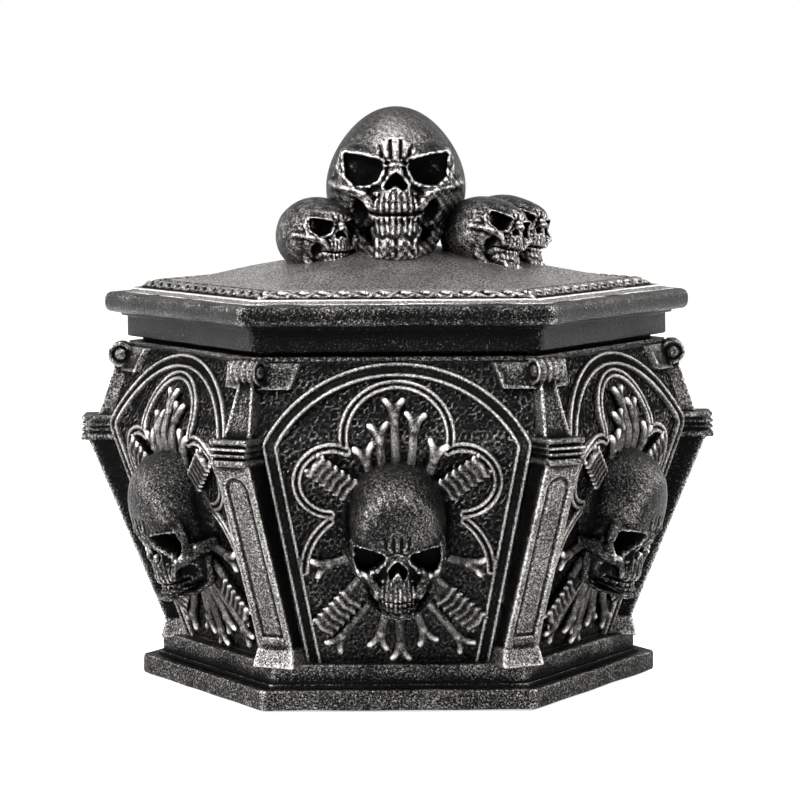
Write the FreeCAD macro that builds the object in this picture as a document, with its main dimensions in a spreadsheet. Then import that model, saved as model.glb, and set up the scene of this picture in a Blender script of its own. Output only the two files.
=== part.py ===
"""Six-sided trinket box with a skull on every wall and a lift-off lid crowned by four skulls.

Millimetres, +Z up. The origin lies on the surface that the box stands on, under its centre.
The front wall faces -Y, and two corners of every hexagon lie on the X axis. A hexagon's side
is also the distance from its centre to a corner.
"""
import FreeCAD, Part
import math
import os

doc = FreeCAD.newDocument("trinket_box")
sheet = doc.addObject("Spreadsheet::Sheet", "sizes")

driving_sizes = {
    # felt pad under the base
    "pad_thickness": 1.2,
    "pad_proud": 0.4,
    "pad_margin": 4.0,
    "pad_play": 0.3,
    # plinth: foot slab, thin toe fillet and step
    "plinth_side": 53.8,
    "plinth_height": 4.1,
    "toe_side": 50.6,
    "toe_height": 0.7,
    "step_side": 49.6,
    "step_height": 3.8,
    # walls: they lean out from the foot to the waist and in again to the top
    "wall_foot_side": 46.0,
    "waist_side": 61.5,
    "wall_top_side": 55.4,
    "lower_wall_height": 44.5,
    "upper_wall_height": 15.9,
    "wall_thickness": 4.0,
    # rim that caps the walls, with the raised land that carries the lid
    "rim_side": 55.9,
    "rim_height": 1.0,
    "land_side": 53.0,
    "land_height": 1.0,
    "opening_side": 50.4,
    # corner pilasters: proud sizes are measured out from the corner that carries the piece
    "block_proud": 3.4,
    "block_width": 8.6,
    "block_height": 3.2,
    "shaft_width": 7.3,
    "shaft_foot_proud": 1.7,
    "shaft_head_proud": 4.0,
    "inset_width": 3.6,
    "inset_depth": 0.5,
    "inset_foot_margin": 3.0,
    "inset_head_margin": 3.6,
    "capital_drop": 3.3,
    "capital_proud": 4.5,
    "capital_width": 8.4,
    "capital_band_height": 1.8,
    "capital_setback": 0.7,
    "neck_foot_proud": 1.9,
    "neck_head_proud": 2.4,
    "neck_foot_width": 6.0,
    "neck_head_width": 2.4,
    "scroll_proud": 2.0,
    "scroll_drop": 1.7,
    "scroll_radius": 2.4,
    "scroll_length": 5.4,
    "scroll_eye_radius": 1.3,
    "scroll_eye_proud": 0.5,
    "console_height": 5.2,
    "console_thickness": 1.2,
    "console_head_offset": 18.2,
    "console_foot_offset": 20.2,
    # tracery bands, drawn in the wall's front elevation
    "tracery_relief": 0.9,
    "arch_band_width": 2.8,
    "arch_foot_margin": 6.4,
    "arch_spring_margin": 6.35,
    "arch_rise": 14.0,
    "foil_band_width": 1.9,
    "top_foil_radius": 10.2,
    "top_foil_rise": 1.1,
    "side_foil_radius": 6.7,
    "side_foil_offset": 12.6,
    "side_foil_drop": 7.5,
    "low_foil_radius": 13.4,
    "low_foil_offset": 4.8,
    "low_foil_drop": 25.4,
    # skull and bones on every wall
    "wall_skull_width": 21.8,
    "wall_skull_height": 29.4,
    "wall_skull_depth": 24.0,
    "wall_skull_lift": 12.4,
    "bone_radius": 0.8,
    "knuckle_radius": 1.1,
    "vertebra_radius": 2.4,
    "vertebra_thickness": 0.9,
    "vertebra_pitch": 1.9,
    "cord_radius": 1.3,
    # lid: frieze, thin fillet, round-nosed slab, lip, low roof and raised border
    "frieze_side": 56.3,
    "frieze_height": 4.3,
    "fillet_side": 57.6,
    "fillet_height": 0.7,
    "slab_side": 61.0,
    "slab_height": 4.2,
    "slab_nose": 1.7,
    "ceiling_thickness": 3.0,
    "lip_depth": 4.0,
    "lip_play": 0.6,
    "lip_width": 5.0,
    "roof_side": 58.0,
    "roof_crown_side": 6.0,
    "roof_height": 9.6,
    "border_side": 55.4,
    "border_inner_side": 46.6,
    "border_relief": 0.6,
    # skulls on the lid
    "crown_skull_width": 29.2,
    "crown_skull_height": 31.6,
    "crown_skull_depth": 38.0,
    "crown_skull_sink": 3.3,
    "small_skull_width": 16.4,
    "small_skull_height": 18.4,
    "small_skull_depth": 20.0,
    "small_skull_rise": 0.9,
    "left_skull_offset": 16.1,
    "right_skull_offset": 18.3,
    "rear_skull_offset": 22.2,
    "small_skull_forward": 5.0,
    "rear_skull_back": 8.0,
    # how far the small skulls turn from the front, in degrees
    "left_skull_turn": 30,
    "right_skull_turn": 40,
    "rear_skull_turn": 65,
}
for row, (alias, value) in enumerate(driving_sizes.items(), start=1):
    sheet.set(f"A{row}", alias.replace("_", " "))
    sheet.set(f"B{row}", str(value))
    sheet.setAlias(f"B{row}", alias)
doc.recompute()


def number(expression):
    """The value of an expression on the sheet's sizes."""
    return float(sheet.evalExpression(expression))


# levels of the stacked pieces, from the ground up
plinth_level = "sizes.pad_proud"
toe_level = f"({plinth_level} + sizes.plinth_height)"
riser_level = f"({toe_level} + sizes.toe_height)"
step_level = f"({riser_level} + sizes.step_height)"
waist_level = f"({step_level} + sizes.lower_wall_height)"
wall_top_level = f"({waist_level} + sizes.upper_wall_height)"
land_level = f"({wall_top_level} + sizes.rim_height)"
lid_level = f"({land_level} + sizes.land_height)"
fillet_level = f"({lid_level} + sizes.frieze_height)"
slab_level = f"({fillet_level} + sizes.fillet_height)"
roof_level = f"({slab_level} + sizes.slab_height)"

# distance from the centre to a flat, as a share of the side
flat_share = math.cos(math.radians(30))
far = "(2 * sizes.waist_side)"
corner_turn = 60
zero = FreeCAD.Vector(0, 0, 0)
x_axis = FreeCAD.Vector(1, 0, 0)
y_axis = FreeCAD.Vector(0, 1, 0)
z_axis = FreeCAD.Vector(0, 0, 1)
upright = FreeCAD.Rotation(x_axis, 90)


def prism(name, side, level, height):
    """A six-sided block that stands on a level."""
    block = doc.addObject("Part::Prism", name)
    block.Polygon = 6
    block.setExpression("Circumradius", side)
    block.setExpression("Height", height)
    block.setExpression("Placement.Base.z", level)
    return block


def tapered(name, levels, foot_across, head_across, half_depths):
    """A flat-sided block between two levels, whose section changes from its foot to its head."""
    block = doc.addObject("Part::Wedge", name)
    limits = {
        "Ymin": levels[0],
        "Ymax": levels[1],
        "Xmin": foot_across[0],
        "Xmax": foot_across[1],
        "X2min": head_across[0],
        "X2max": head_across[1],
        "Zmin": f"-{half_depths[0]}",
        "Zmax": half_depths[0],
        "Z2min": f"-{half_depths[1]}",
        "Z2max": half_depths[1],
    }
    for side, expression in limits.items():
        block.setExpression(side, expression)
    block.Placement = FreeCAD.Placement(zero, upright)
    return block


def frustum(name, levels, foot_side, head_side):
    """A six-sided block whose six flat sides lean alike: three tapered slabs in common."""
    slabs = []
    across = (f"-{far}", far)
    depths = (f"({foot_side} * cos(30))", f"({head_side} * cos(30))")
    for turn in (0, corner_turn, 2 * corner_turn):
        slab = tapered(f"{name}_slab_{turn}", levels, across, across, depths)
        slab.Placement = FreeCAD.Placement(zero, FreeCAD.Rotation(z_axis, turn) * upright)
        slabs.append(slab)
    return joined("Part::MultiCommon", name, slabs)


def joined(kind, name, shapes, rounded=False):
    """The fusion or the common volume of several objects; a rounded one keeps its lumps' seams."""
    result = doc.addObject(kind, name)
    result.Shapes = shapes
    result.Refine = not rounded
    return result


def cut(name, base, tool, rounded=False):
    """One object with another taken away."""
    result = doc.addObject("Part::Cut", name)
    result.Base = base
    result.Tool = tool
    result.Refine = not rounded
    return result


def placed(name, source, turn):
    """A copy of an object, turned about the middle of the box."""
    copy = doc.addObject("Part::Compound", name)
    copy.Links = [source]
    copy.Placement = FreeCAD.Placement(zero, FreeCAD.Rotation(z_axis, turn))
    return copy


def double_frustum(name, grow):
    """The walls' outer form, grown sideways by a named distance measured square to a flat."""
    extra = f"{grow} / cos(30)"
    foot = f"(sizes.wall_foot_side + {extra})"
    waist = f"(sizes.waist_side + {extra})"
    head = f"(sizes.wall_top_side + {extra})"
    lower = frustum(f"{name}_lower", (step_level, waist_level), foot, waist)
    upper = frustum(f"{name}_upper", (waist_level, wall_top_level), waist, head)
    return joined("Part::MultiFuse", name, [lower, upper])


nodes = []


def keep(item, label):
    """Name a finished piece, so that it is checked and written."""
    item.Label = label
    nodes.append(item)
    return item


sides = ("front", "front_right", "back_right", "back", "back_left", "front_left")
corners = ("right", "back_right", "back_left", "left", "front_left", "front_right")


def keep_around(source, family, places):
    """Six placed copies of a piece, one for every side or corner."""
    copies = []
    for step, place in enumerate(places):
        copy = placed(f"{family}_{place}", source, step * corner_turn)
        copies.append(keep(copy, f"{family}_{place}"))
    return copies


# felt pad, let into the underside of the plinth
recess_side = "(sizes.plinth_side - sizes.pad_margin)"
pad = prism("felt", f"{recess_side} - sizes.pad_play", "0", "sizes.pad_thickness")
keep(pad, "felt_pad")

# plinth: foot slab, toe fillet and step in one casting, recessed for the felt
foot_slab = prism("foot_slab", "sizes.plinth_side", plinth_level, "sizes.plinth_height")
toe = prism("toe", "sizes.toe_side", toe_level, "sizes.toe_height")
step = prism("step", "sizes.step_side", riser_level, "sizes.step_height")
recess = prism("felt_recess", recess_side, "0", "sizes.pad_thickness")
plinth_blank = joined("Part::MultiFuse", "plinth_blank", [foot_slab, toe, step])
keep(cut("plinth_casting", plinth_blank, recess), "plinth")

# walls: one folded slab for every side, mitred at the corners
core = double_frustum("core", "0")
hollow = double_frustum("hollow", "-sizes.wall_thickness")
wall_ring = cut("wall_ring", core, hollow)
sector = doc.addObject("Part::Wedge", "sector")
sector_limits = {
    "Ymin": f"-{far}",
    "Ymax": "0",
    "Xmin": f"-{far} * tan(30)",
    "Xmax": f"{far} * tan(30)",
    "X2min": "0",
    "X2max": "0",
    "Zmin": "0",
    "Zmax": roof_level,
    "Z2min": "0",
    "Z2max": roof_level,
}
for limit, expression in sector_limits.items():
    sector.setExpression(limit, expression)
wall = joined("Part::MultiCommon", "wall_slab", [wall_ring, sector])
keep_around(wall, "wall", sides)

# rim: a flat cap on the walls, with a raised land inside the shadow gap under the lid
cap = prism("rim_cap", "sizes.rim_side", wall_top_level, "sizes.rim_height")
land = prism("rim_land", "sizes.land_side", land_level, "sizes.land_height")
mouth = prism("rim_mouth", "sizes.opening_side", wall_top_level, "sizes.rim_height + sizes.land_height")
rim_blank = joined("Part::MultiFuse", "rim_blank", [cap, land])
rim = keep(cut("rim_casting", rim_blank, mouth), "rim")

# pilaster, modelled on the corner that lies on +X and seated on both walls there
block_level = f"({step_level} + sizes.block_height)"
capital_level = f"({waist_level} - sizes.capital_drop)"
neck_level = f"({capital_level} + 3 * sizes.capital_band_height)"
scroll_level = f"({wall_top_level} - sizes.scroll_drop)"
block_back = "sizes.wall_foot_side / 2"
shaft_back = "sizes.waist_side / 2"
flare = "((sizes.waist_side - sizes.wall_foot_side) / sizes.lower_wall_height)"
taper = "((sizes.waist_side - sizes.wall_top_side) / sizes.upper_wall_height)"
block_reach = "(sizes.wall_foot_side + sizes.block_proud)"
shaft_foot_reach = f"(sizes.wall_foot_side + {flare} * sizes.block_height + sizes.shaft_foot_proud)"
shaft_head_reach = f"(sizes.waist_side - {flare} * sizes.capital_drop + sizes.shaft_head_proud)"
capital_reach = "(sizes.waist_side + sizes.capital_proud)"
neck_foot_reach = f"(sizes.waist_side - {taper} * ({neck_level} - {waist_level}) + sizes.neck_foot_proud)"
neck_head_reach = f"(sizes.wall_top_side + {taper} * sizes.scroll_drop + sizes.neck_head_proud)"
scroll_reach = f"(sizes.wall_top_side + {taper} * sizes.scroll_drop + sizes.scroll_proud)"


def post(name, levels, back, reaches, widths):
    """A block of the pilaster: how far it reaches out, and how wide it is, at foot and head."""
    half_widths = (f"({widths[0]} / 2)", f"({widths[1]} / 2)")
    return tapered(name, levels, (back, reaches[0]), (back, reaches[1]), half_widths)


foot_block = post(
    "foot_block", (step_level, block_level), block_back,
    (block_reach,) * 2, ("sizes.block_width",) * 2)
shaft = post(
    "shaft", (block_level, capital_level), block_back,
    (shaft_foot_reach, shaft_head_reach), ("sizes.shaft_width",) * 2)
neck = post(
    "neck", (neck_level, scroll_level), shaft_back,
    (neck_foot_reach, neck_head_reach), ("sizes.neck_foot_width", "sizes.neck_head_width"))
bands = []
for band in range(3):
    band_levels = (
        f"{capital_level} + {band} * sizes.capital_band_height",
        f"{capital_level} + {band + 1} * sizes.capital_band_height")
    band_reach = f"{capital_reach} - {band} * sizes.capital_setback"
    band_width = f"(sizes.capital_width - {band} * sizes.capital_setback)"
    bands.append(post(f"capital_band_{band}", band_levels, shaft_back, (band_reach,) * 2, (band_width,) * 2))

# arched inset on the leaning face of the shaft
lean = math.atan2(
    number(f"{shaft_head_reach} - {shaft_foot_reach}"), number(f"{capital_level} - {block_level}"))
inset_length = number(f"{capital_level} - {block_level}") / math.cos(lean)
inset_head = inset_length - number("sizes.inset_head_margin + sizes.inset_width / 2")
inset_field = doc.addObject("Part::Box", "inset_field")
inset_field.setExpression("Length", "2 * sizes.inset_depth")
inset_field.setExpression("Width", "sizes.inset_width")
inset_field.Height = inset_head - number("sizes.inset_foot_margin")
inset_field.setExpression("Placement.Base.x", "-sizes.inset_depth")
inset_field.setExpression("Placement.Base.y", "-sizes.inset_width / 2")
inset_field.setExpression("Placement.Base.z", "sizes.inset_foot_margin")
inset_arch = doc.addObject("Part::Cylinder", "inset_arch")
inset_arch.setExpression("Radius", "sizes.inset_width / 2")
inset_arch.setExpression("Height", "2 * sizes.inset_depth")
inset_arch.Placement = FreeCAD.Placement(
    FreeCAD.Vector(-number("sizes.inset_depth"), 0, inset_head), FreeCAD.Rotation(y_axis, 90))
inset = joined("Part::MultiFuse", "inset", [inset_field, inset_arch])
inset.Placement = FreeCAD.Placement(
    FreeCAD.Vector(number(shaft_foot_reach), 0, number(block_level)),
    FreeCAD.Rotation(y_axis, math.degrees(lean)))
panelled_shaft = cut("panelled_shaft", shaft, inset)


def roll(name, radius, length):
    """A cylinder that lies across the corner at the scroll's place."""
    cylinder = doc.addObject("Part::Cylinder", name)
    cylinder.setExpression("Radius", radius)
    cylinder.setExpression("Height", length)
    middle = FreeCAD.Vector(number(scroll_reach), number(f"({length}) / 2"), number(scroll_level))
    cylinder.Placement = FreeCAD.Placement(middle, upright)
    return cylinder


scroll = roll("scroll", "sizes.scroll_radius", "sizes.scroll_length")
eyes = roll("scroll_eyes", "sizes.scroll_eye_radius", "sizes.scroll_length + 2 * sizes.scroll_eye_proud")

# console plates under the rim, on the two walls that meet at the corner
console_skin = cut("console_skin", double_frustum("console_form", "sizes.console_thickness"), core)
console_levels = (f"({wall_top_level} - sizes.console_height)", wall_top_level)
plate_right = tapered(
    "plate_right", console_levels, ("sizes.console_foot_offset", far),
    ("sizes.console_head_offset", far), (far, far))
plate_left = tapered(
    "plate_left", console_levels, (f"-{far}", "-sizes.console_foot_offset"),
    (f"-{far}", "-sizes.console_head_offset"), (far, far))
console_right = joined("Part::MultiCommon", "console_right", [plate_right, console_skin, sector])
console_left = joined("Part::MultiCommon", "console_left", [plate_left, console_skin, sector])
consoles = [
    placed("console_before", console_right, corner_turn),
    placed("console_behind", console_left, 2 * corner_turn)]

pilaster_blank = joined(
    "Part::MultiFuse", "pilaster_blank", [foot_block, panelled_shaft, *bands, neck, scroll, eyes, *consoles])
house = joined("Part::MultiFuse", "house", [core, rim])
pilaster = cut("pilaster_casting", pilaster_blank, house)
pilasters = keep_around(pilaster, "pilaster", corners)

# tracery of the front wall: a pointed-foot arch with a trefoil inside it, drawn flat and raised
doc.recompute()
waist_height = number(waist_level)
arch_foot = number("sizes.wall_foot_side / 2 - sizes.arch_foot_margin")
arch_spring = number("sizes.waist_side / 2 - sizes.arch_spring_margin")
foil_half = number("sizes.foil_band_width / 2")
arch_half = number("sizes.arch_band_width / 2")


def arc_band(centre_x, centre_z, radius, half_width, first, last):
    """A flat band along an arc, seen in front elevation, between two angles in degrees."""
    centre = FreeCAD.Vector(centre_x, centre_z, 0)
    outer = Part.makeCircle(radius + half_width, centre, z_axis, first, last)
    inner = Part.makeCircle(radius - half_width, centre, z_axis, first, last)
    starts = Part.makeLine(inner.Vertexes[0].Point, outer.Vertexes[0].Point)
    ends = Part.makeLine(outer.Vertexes[1].Point, inner.Vertexes[1].Point)
    return Part.Face(Part.Wire([starts, outer, ends, inner]))


def leg_band(side):
    """The straight leg of the arch on one side of the wall."""
    foot_x = side * arch_foot
    head_x = side * arch_spring
    foot_z = number(step_level)
    outline = [
        FreeCAD.Vector(foot_x - arch_half, foot_z, 0),
        FreeCAD.Vector(foot_x + arch_half, foot_z, 0),
        FreeCAD.Vector(head_x + arch_half, waist_height, 0),
        FreeCAD.Vector(head_x - arch_half, waist_height, 0),
    ]
    return Part.Face(Part.makePolygon([*outline, outline[0]]))


rise = number("sizes.arch_rise")
arch_radius = (arch_spring**2 + rise**2) / (2 * rise)
arch_centre = waist_height + rise - arch_radius
spring_angle = math.degrees(math.asin((waist_height - arch_centre) / arch_radius))
top_radius = number("sizes.top_foil_radius")
side_radius = number("sizes.side_foil_radius")
side_x = number("sizes.side_foil_offset")
side_z = waist_height - number("sizes.side_foil_drop")
low_radius = number("sizes.low_foil_radius")
low_x = number("sizes.low_foil_offset")
low_z = waist_height - number("sizes.low_foil_drop")
# where the arcs of the trefoil's right half begin and end, in degrees up from +X
top_foil_sweep = (-10, 190)
side_foil_sweep = (-88, 115)
low_foil_sweep = (0, 52)
band_faces = [
    arc_band(0, arch_centre, arch_radius, arch_half, spring_angle, 180 - spring_angle),
    arc_band(0, waist_height + number("sizes.top_foil_rise"), top_radius, foil_half, *top_foil_sweep),
]
for hand in (1, -1):
    side_sweep = side_foil_sweep if hand == 1 else [180 - angle for angle in reversed(side_foil_sweep)]
    low_sweep = low_foil_sweep if hand == 1 else [180 - angle for angle in reversed(low_foil_sweep)]
    band_faces.append(arc_band(hand * side_x, side_z, side_radius, foil_half, *side_sweep))
    band_faces.append(arc_band(hand * low_x, low_z, low_radius, foil_half, *low_sweep))
    band_faces.append(leg_band(hand))
reach = FreeCAD.Vector(0, 0, number(far))
drawing = doc.addObject("Part::Feature", "tracery_drawing")
raised_bands = [face.extrude(reach) for face in band_faces]
drawing.Shape = raised_bands[0].multiFuse(raised_bands[1:])
drawing.Placement = FreeCAD.Placement(zero, upright)
tracery_skin = cut("tracery_skin", double_frustum("tracery_form", "sizes.tracery_relief"), core)
flat_tracery = joined("Part::MultiCommon", "flat_tracery", [drawing, tracery_skin])
neighbours = doc.addObject("Part::Compound", "neighbours")
neighbours.Links = [pilasters[corners.index("front_left")], pilasters[corners.index("front_right")]]
tracery = cut("tracery_casting", flat_tracery, neighbours)
keep_around(tracery, "tracery", sides)

# a skull's lumps and hollows: places and radii as shares of its width, depth and height, measured
# from its chin, with the face towards -Y; a row with a side offset is repeated on the other side
lump_shares = (
    ((0.0, 0.04, 0.65), (0.5, 0.46, 0.35)),
    ((0.0, 0.08, 0.3), (0.38, 0.38, 0.36)),
    ((0.0, -0.16, 0.37), (0.42, 0.31, 0.27)),
    ((0.0, -0.22, 0.16), (0.32, 0.27, 0.16)),
    ((0.34, -0.2, 0.41), (0.1, 0.18, 0.07)),
    ((0.2, -0.34, 0.6), (0.2, 0.13, 0.07)),
)
hollow_shares = (
    ((0.0, -0.5, 0.38), (0.065, 0.14, 0.075)),
    ((0.2, -0.47, 0.51), (0.14, 0.16, 0.07)),
)


def swelling(name, family, place_shares, radius_shares):
    """An ellipsoid at a place on a skull of the named family of sizes."""
    lump = doc.addObject("Part::Ellipsoid", name)
    spans = ("width", "depth", "height")
    for axis, span, share in zip("xyz", spans, place_shares):
        lump.setExpression(f"Placement.Base.{axis}", f"sizes.{family}_{span} * {share}")
    for radius, span, share in zip(("Radius2", "Radius3", "Radius1"), spans, radius_shares):
        lump.setExpression(radius, f"sizes.{family}_{span} * {share}")
    return lump


def swellings(stem, family, rows):
    """Every ellipsoid of a table, with those beside the middle repeated on the other side."""
    lumps = []
    for row, (place, radii) in enumerate(rows):
        hands = (1,) if place[0] == 0 else (1, -1)
        for hand in hands:
            mirrored = (hand * place[0], place[1], place[2])
            lumps.append(swelling(f"{stem}_{row}_{len(lumps)}", family, mirrored, radii))
    return lumps


def skull_bulk(family):
    """A skull's rounded lumps in one, with its chin at the origin."""
    lumps = swellings(f"{family}_lump", family, lump_shares)
    return joined("Part::MultiFuse", f"{family}_bulk", lumps, rounded=True)


def skull(family, bulk):
    """A skull's bulk, less its eye sockets and its nose."""
    rounds = swellings(f"{family}_hollow", family, hollow_shares)
    hollows = joined("Part::MultiFuse", f"{family}_hollows", rounds, rounded=True)
    return cut(f"{family}_form", bulk, hollows, rounded=True)


# skull on the wall: it leans with the lower part of the wall, which cuts it flat behind
lower_lean = math.atan2(
    number("(sizes.waist_side - sizes.wall_foot_side)") * flat_share, number("sizes.lower_wall_height"))
upper_lean = math.atan2(
    number("(sizes.waist_side - sizes.wall_top_side)") * flat_share, number("sizes.upper_wall_height"))
lower_length = number("sizes.lower_wall_height") / math.cos(lower_lean)
upper_length = number("sizes.upper_wall_height") / math.cos(upper_lean)


def on_lower_wall(across, up, out):
    """A point on the front wall below the waist: across it, up its slope and out from it."""
    flat = number("sizes.wall_foot_side") * flat_share
    y = -flat - up * math.sin(lower_lean) - out * math.cos(lower_lean)
    z = number(step_level) + up * math.cos(lower_lean) - out * math.sin(lower_lean)
    return FreeCAD.Vector(across, y, z)


def on_upper_wall(across, up, out):
    """A point on the front wall above the waist."""
    flat = number("sizes.waist_side") * flat_share
    y = -flat + up * math.sin(upper_lean) - out * math.cos(upper_lean)
    z = waist_height + up * math.cos(upper_lean) + out * math.sin(upper_lean)
    return FreeCAD.Vector(across, y, z)


wall_skull_form = skull("wall_skull", skull_bulk("wall_skull"))
wall_skull_form.Placement = FreeCAD.Placement(
    on_lower_wall(0, number("sizes.wall_skull_lift"), 0),
    FreeCAD.Rotation(x_axis, math.degrees(lower_lean)))
wall_skull = cut("wall_skull_casting", wall_skull_form, core, rounded=True)
keep_around(wall_skull, "wall_skull", sides)

# bones and spines that fan out from behind the skull; places are shares of half the waist's side
# across the wall and of the slope's length up it, from the root behind the skull to the tip
fan_bone_shares = (
    ((0.0, 0.86), (0.0, 0.5)),
    ((-0.08, 0.86), (-0.12, 0.2)),
    ((0.08, 0.86), (0.12, 0.3)),
    ((-0.15, 0.84), (-0.22, 0.06)),
    ((0.15, 0.84), (0.25, 0.08)),
)
low_bone_shares = (
    ((-0.26, 0.5), (-0.51, 0.44)),
    ((0.26, 0.5), (0.52, 0.44)),
    ((-0.16, 0.28), (-0.4, 0.1)),
    ((0.16, 0.28), (0.4, 0.1)),
    ((-0.07, 0.26), (-0.13, 0.1)),
    ((0.0, 0.26), (0.01, 0.05)),
    ((0.07, 0.26), (0.18, 0.12)),
)
spine_shares = (
    ((-0.24, 0.77), (-0.48, 0.88)),
    ((0.24, 0.77), (0.48, 0.88)),
    ((-0.22, 0.38), (-0.44, 0.22)),
    ((0.22, 0.38), (0.45, 0.24)),
)
half_waist = number("sizes.waist_side / 2")
bone_radius = number("sizes.bone_radius")
knuckle_radius = number("sizes.knuckle_radius")


def shank(root, tip):
    """The plain round length of a bone."""
    return Part.makeCylinder(bone_radius, root.distanceToPoint(tip), root, tip - root)


def knuckles(root, tip):
    """The two knuckles side by side at a bone's tip."""
    beside = (tip - root).cross(y_axis).normalize() * knuckle_radius
    return [Part.makeSphere(knuckle_radius, tip + beside), Part.makeSphere(knuckle_radius, tip - beside)]


def straight_bone(root, tip):
    """A long bone from its hidden root to its tip."""
    return shank(root, tip).multiFuse(knuckles(root, tip))


def bent_bone(root, knee, tip):
    """A long bone that follows the wall over the fold at its waist."""
    joint = Part.makeSphere(bone_radius, knee)
    return shank(root, knee).multiFuse([joint, shank(knee, tip), *knuckles(knee, tip)])


def spine(root, tip):
    """A short length of backbone: round vertebrae strung on a thinner cord."""
    along = tip - root
    length = along.Length
    along.normalize()
    thickness = number("sizes.vertebra_thickness")
    pitch = number("sizes.vertebra_pitch")
    cord = Part.makeCylinder(number("sizes.cord_radius"), length, root, along)
    discs = []
    for place in range(int(length / pitch)):
        foot = root + along * (length - thickness - place * pitch)
        discs.append(Part.makeCylinder(number("sizes.vertebra_radius"), thickness, foot, along))
    return cord.multiFuse(discs)


def low_place(shares, out):
    """A point below the waist, from its shares across and up the wall."""
    return on_lower_wall(shares[0] * half_waist, shares[1] * lower_length, out)


bone_group = []
for root_shares, tip_shares in fan_bone_shares:
    knee = on_upper_wall((root_shares[0] + tip_shares[0]) / 2 * half_waist, 0, bone_radius / 2)
    tip = on_upper_wall(tip_shares[0] * half_waist, tip_shares[1] * upper_length, bone_radius / 2)
    bone_group.append(bent_bone(low_place(root_shares, bone_radius / 2), knee, tip))
for root_shares, tip_shares in low_bone_shares:
    root = low_place(root_shares, bone_radius / 2)
    bone_group.append(straight_bone(root, low_place(tip_shares, bone_radius / 2)))
for root_shares, tip_shares in spine_shares:
    bone_group.append(spine(low_place(root_shares, 0), low_place(tip_shares, 0)))
bone_drawing = doc.addObject("Part::Feature", "bone_drawing")
bone_drawing.Shape = bone_group[0].multiFuse(bone_group[1:])
bone_seat = joined("Part::MultiFuse", "bone_seat", [core, wall_skull_form, tracery], rounded=True)
bones = cut("bones_casting", bone_drawing, bone_seat, rounded=True)
keep_around(bones, "bones", sides)

# lid plate: frieze, fillet and slab in one casting, hollowed from below
frieze = prism("frieze", "sizes.frieze_side", lid_level, "sizes.frieze_height")
fillet = prism("fillet", "sizes.fillet_side", fillet_level, "sizes.fillet_height")
slab_blank = prism("slab_blank", "sizes.slab_side", slab_level, "sizes.slab_height")
doc.recompute()
slab = doc.addObject("Part::Fillet", "slab")
slab.Base = slab_blank
nose = number("sizes.slab_nose")
level_edges = []
for index, edge in enumerate(slab_blank.Shape.Edges, start=1):
    if abs(edge.tangentAt(edge.FirstParameter).z) < flat_share:
        level_edges.append((index, nose, nose))
slab.Edges = level_edges
lip_side = "(sizes.opening_side - sizes.lip_play)"
pocket_side = f"({lip_side} - sizes.lip_width)"
pocket_height = f"{roof_level} - {lid_level} - sizes.ceiling_thickness"
pocket = prism("lid_pocket", pocket_side, lid_level, pocket_height)
plate_blank = joined("Part::MultiFuse", "lid_plate_blank", [frieze, fillet, slab])
keep(cut("lid_plate_casting", plate_blank, pocket), "lid_plate")

# lip under the lid, which drops into the rim and keeps the lid in place
lip_level = f"({lid_level} - sizes.lip_depth)"
lip_blank = prism("lip_blank", lip_side, lip_level, "sizes.lip_depth")
lip_hole = prism("lip_hole", pocket_side, lip_level, "sizes.lip_depth")
keep(cut("lip_casting", lip_blank, lip_hole), "lid_lip")

# low six-sided roof on the slab, and the raised border that runs round it
roof_levels = (roof_level, f"({roof_level} + sizes.roof_height)")
roof = frustum("roof_form", roof_levels, "sizes.roof_side", "sizes.roof_crown_side")
keep(roof, "lid_roof")
border_levels = tuple(f"{level} + sizes.border_relief" for level in roof_levels)
border_form = frustum("border_form", border_levels, "sizes.roof_side", "sizes.roof_crown_side")
ring_outer = prism("border_outer", "sizes.border_side", roof_level, "sizes.roof_height")
ring_inner = prism("border_inner", "sizes.border_inner_side", roof_level, "sizes.roof_height")
border_ring = cut("border_ring", ring_outer, ring_inner)
border_blank = joined("Part::MultiCommon", "border_blank", [border_ring, border_form])
keep(cut("border_casting", border_blank, roof), "lid_border")

# skulls on the lid, each cut to sit on the roof and against the skull before it
lid_seat = joined("Part::MultiFuse", "lid_seat", [roof, slab_blank])
crown_foot = number(f"{roof_level} + sizes.roof_height - sizes.crown_skull_sink")
crown_level = FreeCAD.Placement(FreeCAD.Vector(0, 0, crown_foot), FreeCAD.Rotation())
crown_bulk = skull_bulk("crown_skull")
crown_form = skull("crown_skull", crown_bulk)
crown_form.Placement = crown_level
keep(cut("crown_casting", crown_form, lid_seat, rounded=True), "crown_skull")
crown_space = placed("crown_space", crown_bulk, 0)
crown_space.Placement = crown_level
small_bulk = skull_bulk("small_skull")
small_form = skull("small_skull", small_bulk)


def small_place(place, across, along):
    """Where a small skull stands on the roof, turned about its own middle."""
    foot_level = number(f"{roof_level} + sizes.small_skull_rise")
    foot = FreeCAD.Vector(number(across), number(along), foot_level)
    return FreeCAD.Placement(foot, FreeCAD.Rotation(z_axis, number(f"sizes.{place}_skull_turn")))


def small_skull(place, spot, seats):
    """A small skull at its spot, cut back from each thing that it leans on."""
    casting = placed(f"{place}_skull_form", small_form, 0)
    casting.Placement = spot
    for turn, seat in enumerate(seats):
        casting = cut(f"{place}_skull_cut_{turn}", casting, seat, rounded=True)
    return keep(casting, f"small_skull_{place}")


left_spot = small_place("left", "-sizes.left_skull_offset", "-sizes.small_skull_forward")
right_spot = small_place("right", "sizes.right_skull_offset", "-sizes.small_skull_forward")
rear_spot = small_place("rear", "sizes.rear_skull_offset", "sizes.rear_skull_back")
right_space = placed("right_space", small_bulk, 0)
right_space.Placement = right_spot
small_skull("left", left_spot, [lid_seat, crown_space])
small_skull("right", right_spot, [lid_seat, crown_space])
small_skull("rear", rear_spot, [lid_seat, crown_space, right_space])

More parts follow.
